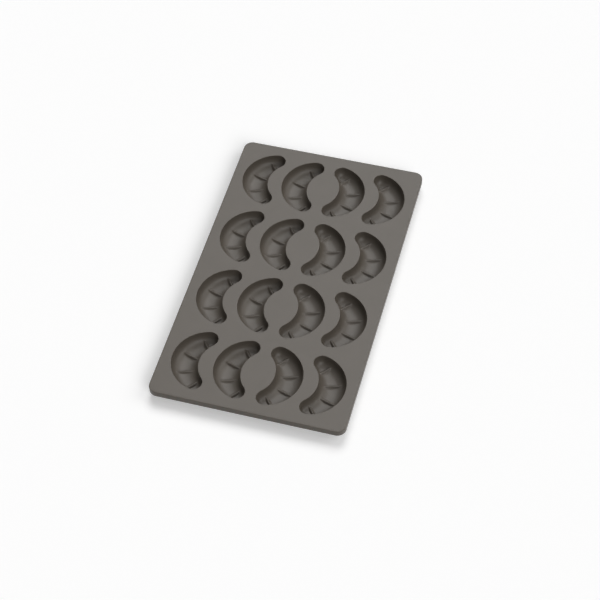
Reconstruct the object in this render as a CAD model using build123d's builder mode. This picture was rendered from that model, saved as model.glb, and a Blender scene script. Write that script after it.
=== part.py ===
from build123d import *
from math import atan2, cos, degrees, radians, sin, sqrt
import os

os.makedirs("parts", exist_ok=True)

# Flexible crescent baking mould, in millimetres: one silicone moulding of a flat
# top sheet with sixteen crescent mouths, a skirt round its edge, and a
# round-bottomed cup under each mouth. The cups are what it stands on.
# X runs along the short side, Y along the long side and Z up. The origin is
# under the middle of the mould, on the surface that it stands on.

# The sheet and its skirt
corner_radius = 8.0
sheet_thickness = 2.0
edge_chamfer = 0.5
rim_height = 6.2
rim_thickness = 3.0

# The mouth: a convex arc and a concave arc joined by two round tips. Its reach
# is its size across the bend, from its back to its tips.
crescent_length = 62.0
crescent_width = 24.2
crescent_reach = 34.1
tip_radius = 7.5

# The flat stretches of sheet that part the mouths and border them
middle_gap = 10.4
column_web = 14.1
row_gap = 10.0
side_margin = 9.9
end_margin = 11.0
row_count = 4

# The cup under a mouth. Its floor is level in the middle and lifts to the tips.
cup_depth = 11.5
cup_wall = 1.6
floor_inset = 6.6
level_floor = 20.0
tip_lift = 4.0

# The creases that the mould presses into each crescent: low ridges across its
# floor, with straight crests that run out into the walls. They are spaced evenly
# along the bend, the last ones just short of the tips, and fan a little less
# than the bend turns.
ridge_height = 1.6
ridge_width = 3.8
ridge_crest = 0.6
ridge_to_tip = 3.3
ridge_splay = 0.88
ridge_count = 4

# The bowls are drawn in flats, to keep sixteen of them light: so many flats on
# each of the outline's four arcs, and one outline at each share of the depth
flat_counts = (10, 5, 6, 5)
cavity_shares = (0, 0.4, 0.7, 0.9, 1)
outside_shares = (0, 0.45, 0.8, 1)

# Worked out from the sizes above. A mouth has its own frame, with y = 0 through
# the middle of its length, x = 0 halfway across its belly, and -X convex.
top = cup_depth + cup_wall
cup_top = top - sheet_thickness
rim_bottom = top - rim_height
half_belly = crescent_width / 2
tip_y = crescent_length / 2 - tip_radius
tip_x = crescent_reach - half_belly - tip_radius
tip_rise = half_belly - tip_radius
outer_centre = (tip_x**2 + tip_y**2 - tip_rise**2) / (2 * (tip_x + tip_rise))
outer_radius = outer_centre + half_belly
tip_gap = half_belly - tip_x
inner_radius = (tip_gap**2 + tip_y**2 - tip_radius**2) / (2 * (tip_radius - tip_gap))
inner_centre = half_belly + inner_radius
bend_radius = (tip_x**2 + tip_y**2) / (2 * tip_x)
tip_angle = degrees(atan2(tip_y, bend_radius - tip_x))
last_ridge = tip_angle - degrees(ridge_to_tip / bend_radius)
ridge_root = cup_wall / 2
ridge_side = (ridge_width - ridge_crest) / 2
ridge_foot = ridge_width / 2 + ridge_side * ridge_root / ridge_height
mouth_middle = crescent_reach / 2 - half_belly
floor_slope = tip_lift / (crescent_length / 2 - level_floor / 2)

# The mould's own size follows from the mouths and the sheet between them: 175 mm
# across and 300 mm long
inner_column = (middle_gap + crescent_reach) / 2
outer_column = inner_column + crescent_width + column_web
mold_width = 2 * outer_column + crescent_reach + 2 * side_margin
row_pitch = crescent_length + row_gap
mold_length = (row_count - 1) * row_pitch + crescent_length + 2 * end_margin


def crescent(inset):
    """The outline's four arcs: centre, radius, first angle and turn in degrees."""
    outer_turn = degrees(atan2(tip_y, outer_centre - tip_x))
    inner_turn = degrees(atan2(tip_y, inner_centre - tip_x))
    tip_turn = 180 + inner_turn - outer_turn
    return (
        ((outer_centre, 0), outer_radius - inset, 180 - outer_turn, 2 * outer_turn),
        ((tip_x, -tip_y), tip_radius - inset, 180 + outer_turn, tip_turn),
        ((inner_centre, 0), inner_radius + inset, 180 + inner_turn, -2 * inner_turn),
        ((tip_x, tip_y), tip_radius - inset, -inner_turn, tip_turn),
    )


def crescent_corners(inset, height):
    """The same outline in flats, at one height."""
    corners = []
    for (centre, radius, first, turn), flats in zip(crescent(inset), flat_counts):
        for step in range(flats):
            angle = radians(first + turn * step / flats)
            x = centre[0] + radius * cos(angle)
            y = centre[1] + radius * sin(angle)
            corners.append((x, y, height))
    return corners


def bowl(depth, grow, shares):
    """A solid bowl of flats below the sheet, its sides curving in as an ellipse does."""
    half_width = half_belly + grow
    closing = 1 - (1 - floor_inset / half_belly) ** 2
    rings = []
    for share in shares:
        below = sheet_thickness + (depth - sheet_thickness) * share
        inset = half_width * (1 - sqrt(1 - closing * (below / depth) ** 2)) - grow
        rings.append(crescent_corners(inset, top - below))
    faces = [Face(Wire.make_polygon(rings[0])), Face(Wire.make_polygon(rings[-1]))]
    for upper, lower in zip(rings, rings[1:]):
        for i in range(len(upper)):
            side = (upper[i - 1], upper[i], lower[i], lower[i - 1])
            faces.append(Face(Wire.make_polygon(side)))
    return Solid(Shell(faces))


def lifted_floor(depth, side):
    """The plane that cuts a bowl's floor on its way up to one tip."""
    start = (0, side * level_floor / 2, top - depth)
    return Plane(origin=start, x_dir=(1, 0, 0), z_dir=(0, -side * floor_slope, 1))


def on_floor(x, y):
    """The point of a cup's floor at a place in the mouth."""
    return Vector(x, y, cup_wall + floor_slope * max(abs(y) - level_floor / 2, 0))


def ridge_section(turn):
    """The upright plane that a ridge crosses at one turn of the bend, on the floor."""
    x = bend_radius * (1 - cos(turn))
    y = bend_radius * sin(turn)
    splay = ridge_splay * turn
    half_floor = half_belly - floor_inset
    inner = on_floor(x + half_floor * cos(splay), y - half_floor * sin(splay))
    outer = on_floor(x - half_floor * cos(splay), y + half_floor * sin(splay))
    return Plane(origin=(inner + outer) / 2, x_dir=(-sin(splay), -cos(splay), 0), z_dir=outer - inner)


# One cup, in the mouth's own frame
cavity_bowl = bowl(cup_depth, 0, cavity_shares)
outside_bowl = bowl(top, cup_wall, outside_shares)

with BuildPart() as hollow:
    add(cavity_bowl)
    for side in (1, -1):
        split(bisect_by=lifted_floor(cup_depth, side), keep=Keep.TOP)
    for i in range(ridge_count):
        turn = radians(last_ridge * (2 * i / (ridge_count - 1) - 1))
        with BuildSketch(ridge_section(turn)):
            with BuildLine():
                Polyline(
                    (-ridge_foot, -ridge_root),
                    (-ridge_crest / 2, ridge_height),
                    (ridge_crest / 2, ridge_height),
                    (ridge_foot, -ridge_root),
                    close=True,
                )
            make_face()
        extrude(amount=crescent_width / 2, both=True, mode=Mode.SUBTRACT)

with BuildPart() as cup:
    add(outside_bowl)
    for side in (1, -1):
        split(bisect_by=lifted_floor(top, side), keep=Keep.TOP)
    add(hollow.part, mode=Mode.SUBTRACT)

# Sixteen cups: four columns, the two on each side with their backs to the edge
columns = {
    "left_outer": (-outer_column, 1),
    "left_inner": (-inner_column, 1),
    "right_inner": (inner_column, -1),
    "right_outer": (outer_column, -1),
}
row_places = [row_pitch * (i - (row_count - 1) / 2) for i in range(row_count)]

with BuildPart() as mirrored_cup:
    add(cup.part)
    mirror(about=Plane.YZ, mode=Mode.REPLACE)

for column, (x, facing) in columns.items():
    for row, y in enumerate(row_places, start=1):
        with BuildPart() as placed_cup:
            with Locations((x - facing * mouth_middle, y)):
                add(cup.part if facing > 0 else mirrored_cup.part)
        name = f"cup_{column}_{row}"
        placed_cup.part.label = name
        export_step(placed_cup.part, f"parts/{name}.step")

# The sheet: a flat plate with an eased outer edge and crisp crescent mouths
with BuildSketch() as mouth:
    with BuildLine():
        for centre, radius, first, turn in crescent(0):
            CenterArc(centre, radius, first, turn)
    make_face()

with BuildSketch() as mirrored_mouth:
    add(mouth.sketch)
    mirror(about=Plane.YZ, mode=Mode.REPLACE)

with BuildPart() as top_sheet:
    with BuildSketch(Plane.XY.offset(cup_top)):
        RectangleRounded(mold_width, mold_length, corner_radius)
    extrude(amount=sheet_thickness)
    chamfer(top_sheet.faces().sort_by(Axis.Z)[-1].edges(), length=edge_chamfer)
    with BuildSketch(Plane.XY.offset(cup_top)):
        for x, facing in columns.values():
            with Locations([(x - facing * mouth_middle, y) for y in row_places]):
                add(mouth.sketch if facing > 0 else mirrored_mouth.sketch)
    extrude(amount=sheet_thickness, mode=Mode.SUBTRACT)
top_sheet.part.label = "top_sheet"
export_step(top_sheet.part, "parts/top_sheet.step")

# The skirt: four straight sides under the sheet, mitred at the corners
corner_x = mold_width / 2
corner_y = mold_length / 2
mitre_y = corner_y - corner_x
rim_sides = {
    "rim_front": ((-corner_x, -corner_y), (corner_x, -corner_y), (0, -mitre_y)),
    "rim_back": ((corner_x, corner_y), (-corner_x, corner_y), (0, mitre_y)),
    "rim_left": ((-corner_x, corner_y), (-corner_x, -corner_y), (0, -mitre_y), (0, mitre_y)),
    "rim_right": ((corner_x, -corner_y), (corner_x, corner_y), (0, mitre_y), (0, -mitre_y)),
}
for name, region in rim_sides.items():
    with BuildPart() as rim:
        with BuildSketch(Plane.XY.offset(rim_bottom)):
            RectangleRounded(mold_width, mold_length, corner_radius)
            RectangleRounded(
                mold_width - 2 * rim_thickness,
                mold_length - 2 * rim_thickness,
                corner_radius - rim_thickness,
                mode=Mode.SUBTRACT,
            )
            with BuildLine():
                Polyline(*region, close=True)
            make_face(mode=Mode.INTERSECT)
        extrude(amount=rim_height - sheet_thickness)
    rim.part.label = name
    export_step(rim.part, f"parts/{name}.step")
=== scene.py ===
from math import atan2, cos, copysign, pi, radians, sin, sqrt

import bmesh
import bpy
from mathutils import Matrix, Vector


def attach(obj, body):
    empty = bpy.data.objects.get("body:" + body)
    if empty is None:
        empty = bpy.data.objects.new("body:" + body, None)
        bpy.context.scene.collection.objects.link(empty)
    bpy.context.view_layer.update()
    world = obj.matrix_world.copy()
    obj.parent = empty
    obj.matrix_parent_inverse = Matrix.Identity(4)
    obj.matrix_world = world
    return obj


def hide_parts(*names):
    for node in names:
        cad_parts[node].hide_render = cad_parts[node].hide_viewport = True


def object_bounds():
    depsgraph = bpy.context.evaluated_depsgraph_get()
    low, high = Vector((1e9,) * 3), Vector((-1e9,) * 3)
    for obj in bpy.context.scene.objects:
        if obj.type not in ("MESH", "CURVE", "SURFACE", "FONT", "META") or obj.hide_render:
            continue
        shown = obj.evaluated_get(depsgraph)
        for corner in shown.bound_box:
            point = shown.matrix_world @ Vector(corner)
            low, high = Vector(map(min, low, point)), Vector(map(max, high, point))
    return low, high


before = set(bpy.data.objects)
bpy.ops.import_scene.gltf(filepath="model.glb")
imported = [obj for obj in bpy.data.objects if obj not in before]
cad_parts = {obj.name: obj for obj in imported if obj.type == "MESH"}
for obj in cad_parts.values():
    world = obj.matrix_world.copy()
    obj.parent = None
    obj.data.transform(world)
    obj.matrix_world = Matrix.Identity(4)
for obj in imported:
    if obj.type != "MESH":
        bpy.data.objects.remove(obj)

cad_low, cad_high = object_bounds()
scene = bpy.context.scene
scene.view_settings.view_transform = "Standard"

# Camera: the photograph's viewpoint, worked out from the mould's flat top, which
# is a true rectangle. The place is measured from the middle of that top.
mould_top = cad_high.z
view_from = Vector((0.2744, -0.8518, 1.1357 + mould_top))
view_right = Vector((0.9633, 0.2670, -0.0261)).normalized()
view_back = Vector((0.1821, -0.5794, 0.7944)).normalized()
view_up = view_back.cross(view_right)
camera_data = bpy.data.cameras.new("view")
camera_data.lens = 96.33
camera_data.sensor_width = 36.0
camera_data.clip_end = 20.0
camera = bpy.data.objects.new("view", camera_data)
view_turn = Matrix((view_right, view_up, view_back)).transposed().to_4x4()
camera.matrix_world = Matrix.Translation(view_from) @ view_turn
scene.collection.objects.link(camera)
scene.camera = camera


# Light: three broad soft lamps, one behind the mould, one on its right and one in
# front on the right, in a dim even room. The room and the table look brighter than
# they are, seen or mirrored, as in a picture exposed for something dark.
def soft_lamp(name, strength, spread, comes_from):
    """A broad lamp, so many degrees wide, that shines from one direction."""
    light = bpy.data.lights.new(name, "SUN")
    light.energy = strength
    light.angle = radians(spread)
    lamp = bpy.data.objects.new(name, light)
    lamp.rotation_mode = "QUATERNION"
    lamp.rotation_quaternion = Vector(comes_from).to_track_quat("Z", "Y")
    scene.collection.objects.link(lamp)


def where_seen(tree):
    """A socket that is 1 where something is seen or mirrored, and 0 where it only lights."""
    path = tree.nodes.new("ShaderNodeLightPath")
    mirrored = tree.nodes.new("ShaderNodeMath")
    mirrored.operation = "MAXIMUM"
    through = tree.nodes.new("ShaderNodeMath")
    through.operation = "MAXIMUM"
    tree.links.new(path.outputs["Is Camera Ray"], mirrored.inputs[0])
    tree.links.new(path.outputs["Is Glossy Ray"], mirrored.inputs[1])
    tree.links.new(mirrored.outputs[0], through.inputs[0])
    tree.links.new(path.outputs["Is Transmission Ray"], through.inputs[1])
    return through.outputs[0]


soft_lamp("key", 1.36, 35, (-0.08, 0.58, 0.81))
soft_lamp("side", 0.72, 40, (0.72, 0.22, 0.66))
soft_lamp("fill", 1.2, 35, (0.58, -0.58, 0.57))

world = bpy.data.worlds.new("room")
world.use_nodes = True
scene.world = world
room = world.node_tree
room.nodes.clear()
room_out = room.nodes.new("ShaderNodeOutputWorld")
room_light = room.nodes.new("ShaderNodeBackground")
room_light.inputs["Color"].default_value = (1.0, 1.0, 1.0, 1.0)
room_light.inputs["Strength"].default_value = 0.06
room_seen = room.nodes.new("ShaderNodeBackground")
room_seen.inputs["Color"].default_value = (0.95, 0.95, 0.95, 1.0)
room_mix = room.nodes.new("ShaderNodeMixShader")
room.links.new(where_seen(room), room_mix.inputs[0])
room.links.new(room_light.outputs[0], room_mix.inputs[1])
room.links.new(room_seen.outputs[0], room_mix.inputs[2])
room.links.new(room_mix.outputs[0], room_out.inputs["Surface"])

# Floor: a plain pale table top under the mould, matte all over. It glows a little
# where it is seen or mirrored, and it keeps the mould's shadow.
floor_mesh = bmesh.new()
bmesh.ops.create_grid(floor_mesh, x_segments=1, y_segments=1, size=4.0)
floor_data = bpy.data.meshes.new("floor")
floor_mesh.to_mesh(floor_data)
floor_mesh.free()
floor = bpy.data.objects.new("floor", floor_data)
scene.collection.objects.link(floor)

table_top = bpy.data.materials.new("pale_table_top")
table_top.use_nodes = True
table = table_top.node_tree
table_finish = table.nodes["Principled BSDF"]
table_finish.inputs["Base Color"].default_value = (0.93, 0.93, 0.93, 1.0)
table_finish.inputs["Roughness"].default_value = 0.9
table_finish.inputs["Specular IOR Level"].default_value = 0.1
table_finish.inputs["Emission Color"].default_value = (1.0, 1.0, 1.0, 1.0)
table_glow = table.nodes.new("ShaderNodeMath")
table_glow.operation = "MULTIPLY"
table_glow.inputs[1].default_value = 0.25
table.links.new(where_seen(table), table_glow.inputs[0])
table.links.new(table_glow.outputs[0], table_finish.inputs["Emission Strength"])
floor_data.materials.append(table_top)

# Cup hollows: sixteen bent troughs with steep sides, broad floors and round tips
# that rise a little. Four low creases with level crests cross each floor and run
# out into its sides. The mouth's lip is crisp and the creases' edges are soft.
mm = 0.001
mouth_length = 62.0 * mm
mouth_width = 24.2 * mm
mouth_reach = 34.1 * mm
tip_radius = 7.5 * mm
cup_depth = 11.5 * mm
tip_lift = 1.6 * mm
section_power = 2.6
lip_radius = 0.25 * mm
lip_border = 0.5 * mm
crease_count = 4
crease_to_tip = 3.3 * mm
crease_splay = 0.88
crease_height = 1.75 * mm
crease_crest = 0.45 * mm
crease_side = 1.25 * mm
crease_round = 0.25 * mm

# One mouth has its own frame, with y = 0 through the middle of its length, x = 0
# halfway across it there and -X convex. Its back is a convex arc and its belly a
# concave one, joined by the round tips. Its spine is an arc from the middle of one
# tip to that of the other, through the frame's origin.
half_width = mouth_width / 2
tip_y = mouth_length / 2 - tip_radius
tip_x = mouth_reach - half_width - tip_radius
tip_rise = half_width - tip_radius
back_x = (tip_x**2 + tip_y**2 - tip_rise**2) / (2 * (tip_x + tip_rise))
back_radius = back_x + half_width
belly_gap = half_width - tip_x
belly_radius = (belly_gap**2 + tip_y**2 - tip_radius**2) / (2 * (tip_radius - belly_gap))
belly_x = half_width + belly_radius
bend_radius = (tip_x**2 + tip_y**2) / (2 * tip_x)
back_centre = Vector((back_x, 0))
belly_centre = Vector((belly_x, 0))
bend_centre = Vector((bend_radius, 0))
tip_turn = atan2(tip_y, bend_radius - tip_x)
last_crease = tip_turn - crease_to_tip / bend_radius
crease_turns = [last_crease * (2 * i / (crease_count - 1) - 1) for i in range(crease_count)]


def spine_at(turn):
    """The middle of the cup's floor at a turn about the bend."""
    return bend_centre + bend_radius * Vector((-cos(turn), sin(turn)))


def depth_at(turn):
    """The hollow's depth along its spine, which lessens towards the tips."""
    return cup_depth - tip_lift * (turn / tip_turn) ** 2


def leaves_mouth(base, heading):
    """Where a line across the cup leaves the mouth, and the way straight out there."""
    for centre, radius, side in ((back_centre, back_radius, 1), (belly_centre, belly_radius, -1)):
        off = base - centre
        along = off.dot(heading)
        half_chord_squared = along**2 + radius**2 - off.length_squared
        if half_chord_squared < 0:
            continue
        edge = base + heading * (side * sqrt(half_chord_squared) - along)
        limit = atan2(tip_y, centre.x - tip_x)
        if abs(atan2(edge.y, centre.x - edge.x)) <= limit and (edge - base).dot(heading) > 0:
            return edge, (edge - centre).normalized() * side
    # Past the ends of both arcs, the line leaves by a round tip.
    tip = Vector((tip_x, copysign(tip_y, base.y)))
    return tip + heading * tip_radius, heading


def cup_lines(turns, fan_steps):
    """Lines from the cup's spine to its mouth, in order round the mouth."""
    splay = crease_splay * tip_turn
    starts = [(turn, pi - crease_splay * turn) for turn in turns]
    starts += [(tip_turn, pi - splay - pi * i / fan_steps) for i in range(1, fan_steps)]
    starts += [(turn, -crease_splay * turn) for turn in reversed(turns)]
    starts += [(-tip_turn, splay - pi * i / fan_steps) for i in range(1, fan_steps)]
    lines = []
    for turn, angle in starts:
        base = spine_at(turn)
        edge, out = leaves_mouth(base, Vector((cos(angle), sin(angle))))
        lines.append((base, edge, out, depth_at(turn)))
    return lines


def over_creases(place, drop):
    """How deep the hollow is at a place, once the creases stand up from its floor."""
    for crease in crease_turns:
        splay = crease_splay * crease
        away = (place - spine_at(crease)).dot(Vector((sin(splay), cos(splay))))
        # The crest rounds over into its sides, and the sides round into the floor.
        past_crest = abs(away) - crease_crest
        past_crest = (past_crest + sqrt(past_crest**2 + crease_round**2)) / 2
        crest = depth_at(crease) - crease_height + past_crest * crease_height / crease_side
        blend = max(crease_round - abs(drop - crest), 0)
        drop = min(drop, crest) - blend**2 / (4 * crease_round)
    return drop


def wrapped_grid(mesh, columns, rows, place):
    """A grid with each corner moved to place(column, row), its last column on its first."""
    made = bmesh.ops.create_grid(mesh, x_segments=columns, y_segments=rows, size=0.5)
    for vert in made["verts"]:
        column = round((vert.co.x + 0.5) * columns)
        row = round((vert.co.y + 0.5) * rows)
        vert.co = place(column % columns, row)


# Lines lie close together beside each crease, so that it comes out smooth. Their
# gaps widen away from its crest, and even ones fill what is left between creases.
lines_beside = 7
gaps_between = 8
first_gap = radians(0.4)
gap_growth = radians(0.03)
beside_reach = lines_beside * (first_gap + gap_growth * lines_beside)
tip_line = (last_crease + beside_reach + tip_turn) / 2
hollow_turns = [-tip_turn, -tip_line]
for crease, next_crease in zip(crease_turns, crease_turns[1:] + [None]):
    for i in range(-lines_beside, lines_beside + 1):
        hollow_turns.append(crease + i * (first_gap + gap_growth * abs(i)))
    if next_crease is not None:
        clear = next_crease - crease - 2 * beside_reach
        for i in range(1, gaps_between):
            hollow_turns.append(crease + beside_reach + clear * i / gaps_between)
hollow_turns += [tip_line, tip_turn]
hollow_fan = 14
hollow_lines = cup_lines(hollow_turns, hollow_fan)
lip_steps = 3
wall_steps = 15


def hollow_place(column, row):
    """A corner of the hollow's grid: first the flat beside the lip, then the lip, then the wall."""
    base, edge, out, depth = hollow_lines[column]
    if row == 0:
        flat = edge + out * (lip_radius + lip_border)
        return Vector((flat.x, flat.y, 0))
    if row <= lip_steps + 1:
        lean = pi / 2 * (row - 1) / lip_steps
        lip = edge + out * lip_radius * (1 - sin(lean))
        return Vector((lip.x, lip.y, -lip_radius * (1 - cos(lean))))
    # The wall follows a superellipse, which is steeper and broader than an ellipse.
    down = pi / 2 * (row - lip_steps - 1) / wall_steps
    place = base + (edge - base) * cos(down) ** (2 / section_power)
    drop = lip_radius + (depth - lip_radius) * sin(down) ** (2 / section_power)
    return Vector((place.x, place.y, -over_creases(place, drop)))


cup = bmesh.new()
wrapped_grid(cup, len(hollow_lines), 1 + lip_steps + wall_steps, hollow_place)

# Cup undersides: the same wall, seen from below. It follows the hollow at an even
# thickness and runs into the sheet with a soft corner. Its round bottom would hang
# a little lower than the foot, and is cut flat there.
cup_wall = 1.6 * mm
sheet_thickness = 2.0 * mm
root_radius = 1.0 * mm
foot_drop = cup_depth + cup_wall
foot_cut = 0.48 * mm
outside_spans = 16
outside_turns = [tip_turn * (2 * i / outside_spans - 1) for i in range(outside_spans + 1)]
outside_fan = 8
outside_lines = cup_lines(outside_turns, outside_fan)
root_steps = 3
outside_steps = 10


def outside_place(column, row):
    """A corner of the underside's grid: the flat beside its root, the root, then the wall."""
    base, edge, out, depth = outside_lines[column]
    edge = edge + out * cup_wall
    if row == 0:
        flat = edge + out * (root_radius + lip_border)
        return Vector((flat.x, flat.y, -sheet_thickness))
    if row <= root_steps + 1:
        lean = pi / 2 * (row - 1) / root_steps
        root = edge + out * root_radius * (1 - sin(lean))
        return Vector((root.x, root.y, -sheet_thickness - root_radius * (1 - cos(lean))))
    down = pi / 2 * (row - root_steps - 1) / outside_steps
    place = base + (edge - base) * cos(down)
    start = sheet_thickness + root_radius
    drop = start + (depth + cup_wall + foot_cut - start) * sin(down)
    return Vector((place.x, place.y, -min(drop, foot_drop)))


weld = 0.001 * mm
wrapped_grid(cup, len(outside_lines), 1 + root_steps + outside_steps, outside_place)
bmesh.ops.remove_doubles(cup, verts=cup.verts, dist=weld)

# Top sheet and skirt: the cups hang from a flat sheet with rounded corners, which
# turns down at its edge into a thick skirt. It is all one pressing of silicone.
middle_gap = 10.4 * mm
column_web = 14.1 * mm
row_gap = 10.0 * mm
row_count = 4
corner_radius = 8.0 * mm
edge_radius = 0.45 * mm
rim_height = 6.2 * mm
rim_thickness = 3.0 * mm
rim_radius = 0.5 * mm
rim_root = 0.8 * mm
edge_border = 1.5 * mm
corner_steps = 14
edge_steps = 6
rim_steps = 3


def quarter_turn(steps):
    """The angles of a round corner, from its first end to its last."""
    return [pi / 2 * i / steps for i in range(steps + 1)]


# The edge in section, from the top of the sheet round the skirt to its underside:
# how far in from the outside, and how high
edge_profile = [(edge_radius + edge_border, 0)]
for lean in quarter_turn(edge_steps):
    edge_profile.append((edge_radius * (1 - sin(lean)), -edge_radius * (1 - cos(lean))))
for lean in quarter_turn(rim_steps):
    edge_profile.append((rim_radius * (1 - cos(lean)), rim_radius * (1 - sin(lean)) - rim_height))
for lean in quarter_turn(rim_steps):
    inset = rim_thickness - rim_radius * (1 - sin(lean))
    edge_profile.append((inset, rim_radius * (1 - cos(lean)) - rim_height))
for lean in quarter_turn(rim_steps):
    inset = rim_thickness + rim_root * (1 - cos(lean))
    edge_profile.append((inset, -sheet_thickness - rim_root * (1 - sin(lean))))
edge_profile.append((rim_thickness + rim_root + edge_border, -sheet_thickness))


def edge_place(column, row):
    """A corner of the edge's grid: its columns go round the four corners in turn."""
    corner, step = divmod(column, corner_steps + 1)
    inset, height = edge_profile[row]
    angle = pi / 2 * (corner + step / corner_steps)
    side_x = 1 if corner in (0, 3) else -1
    side_y = 1 if corner in (0, 1) else -1
    x = side_x * (cad_high.x - corner_radius) + (corner_radius - inset) * cos(angle)
    y = side_y * (cad_high.y - corner_radius) + (corner_radius - inset) * sin(angle)
    return Vector((x, y, height))


mould_mesh = bmesh.new()
wrapped_grid(mould_mesh, 4 * (corner_steps + 1), len(edge_profile) - 1, edge_place)

# The cups stand in four columns, with their backs to the nearer side, and the left
# half mirrors the right.
cup_data = bpy.data.meshes.new("cup")
cup.to_mesh(cup_data)
cup.free()
inner_column = (middle_gap + mouth_reach) / 2
outer_column = inner_column + mouth_width + column_web
mouth_middle = mouth_reach / 2 - half_width
row_pitch = mouth_length + row_gap
for side in (-1, 1):
    for column in (inner_column, outer_column):
        for row in range(row_count):
            known = set(mould_mesh.verts)
            mould_mesh.from_mesh(cup_data)
            added = [vert for vert in mould_mesh.verts if vert not in known]
            y = row_pitch * (row - (row_count - 1) / 2)
            shift = Vector((side * (column + mouth_middle), y, 0))
            bmesh.ops.scale(mould_mesh, vec=(-side, 1, 1), verts=added)
            bmesh.ops.translate(mould_mesh, vec=shift, verts=added)

# The flat sheet fills what lies between the edge and the mouths, above and below.
bmesh.ops.remove_doubles(mould_mesh, verts=mould_mesh.verts, dist=weld)
for height in (0, -sheet_thickness):
    ring = [
        edge
        for edge in mould_mesh.edges
        if edge.is_boundary and abs(edge.verts[0].co.z - height) < weld
    ]
    bmesh.ops.triangle_fill(mould_mesh, use_beauty=True, edges=ring, normal=(0, 0, 1))
bmesh.ops.translate(mould_mesh, vec=(0, 0, mould_top), verts=mould_mesh.verts)
mould_mesh.normal_update()
bmesh.ops.recalc_face_normals(mould_mesh, faces=mould_mesh.faces)
for face in mould_mesh.faces:
    face.smooth = True

mould_data = bpy.data.meshes.new("silicone_mould")
mould_mesh.to_mesh(mould_data)
mould_mesh.free()
mould = bpy.data.objects.new("silicone_mould", mould_data)
scene.collection.objects.link(mould)

# Silicone: warm dark grey all through, matte, with a very fine grain from the
# tool and a faint unevenness of tone.
silicone = bpy.data.materials.new("warm_grey_silicone")
silicone.use_nodes = True
nodes = silicone.node_tree.nodes
links = silicone.node_tree.links
finish = nodes["Principled BSDF"]
finish.inputs["Roughness"].default_value = 0.45
finish.inputs["Specular IOR Level"].default_value = 0.4
where = nodes.new("ShaderNodeTexCoord")
mottle = nodes.new("ShaderNodeTexNoise")
mottle.inputs["Scale"].default_value = 60.0
mottle.inputs["Detail"].default_value = 3.0
tone = nodes.new("ShaderNodeValToRGB")
tone.color_ramp.elements[0].position = 0.35
tone.color_ramp.elements[0].color = (0.082, 0.070, 0.056, 1.0)
tone.color_ramp.elements[1].position = 0.65
tone.color_ramp.elements[1].color = (0.088, 0.075, 0.061, 1.0)
grain = nodes.new("ShaderNodeTexNoise")
grain.inputs["Scale"].default_value = 2200.0
grain.inputs["Detail"].default_value = 2.0
relief = nodes.new("ShaderNodeBump")
relief.inputs["Strength"].default_value = 0.25
relief.inputs["Distance"].default_value = 0.05 * mm
links.new(where.outputs["Object"], mottle.inputs["Vector"])
links.new(where.outputs["Object"], grain.inputs["Vector"])
links.new(mottle.outputs["Fac"], tone.inputs["Fac"])
links.new(tone.outputs["Color"], finish.inputs["Base Color"])
links.new(grain.outputs["Fac"], relief.inputs["Height"])
links.new(relief.outputs["Normal"], finish.inputs["Normal"])
mould_data.materials.append(silicone)
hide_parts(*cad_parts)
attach(mould, "root")
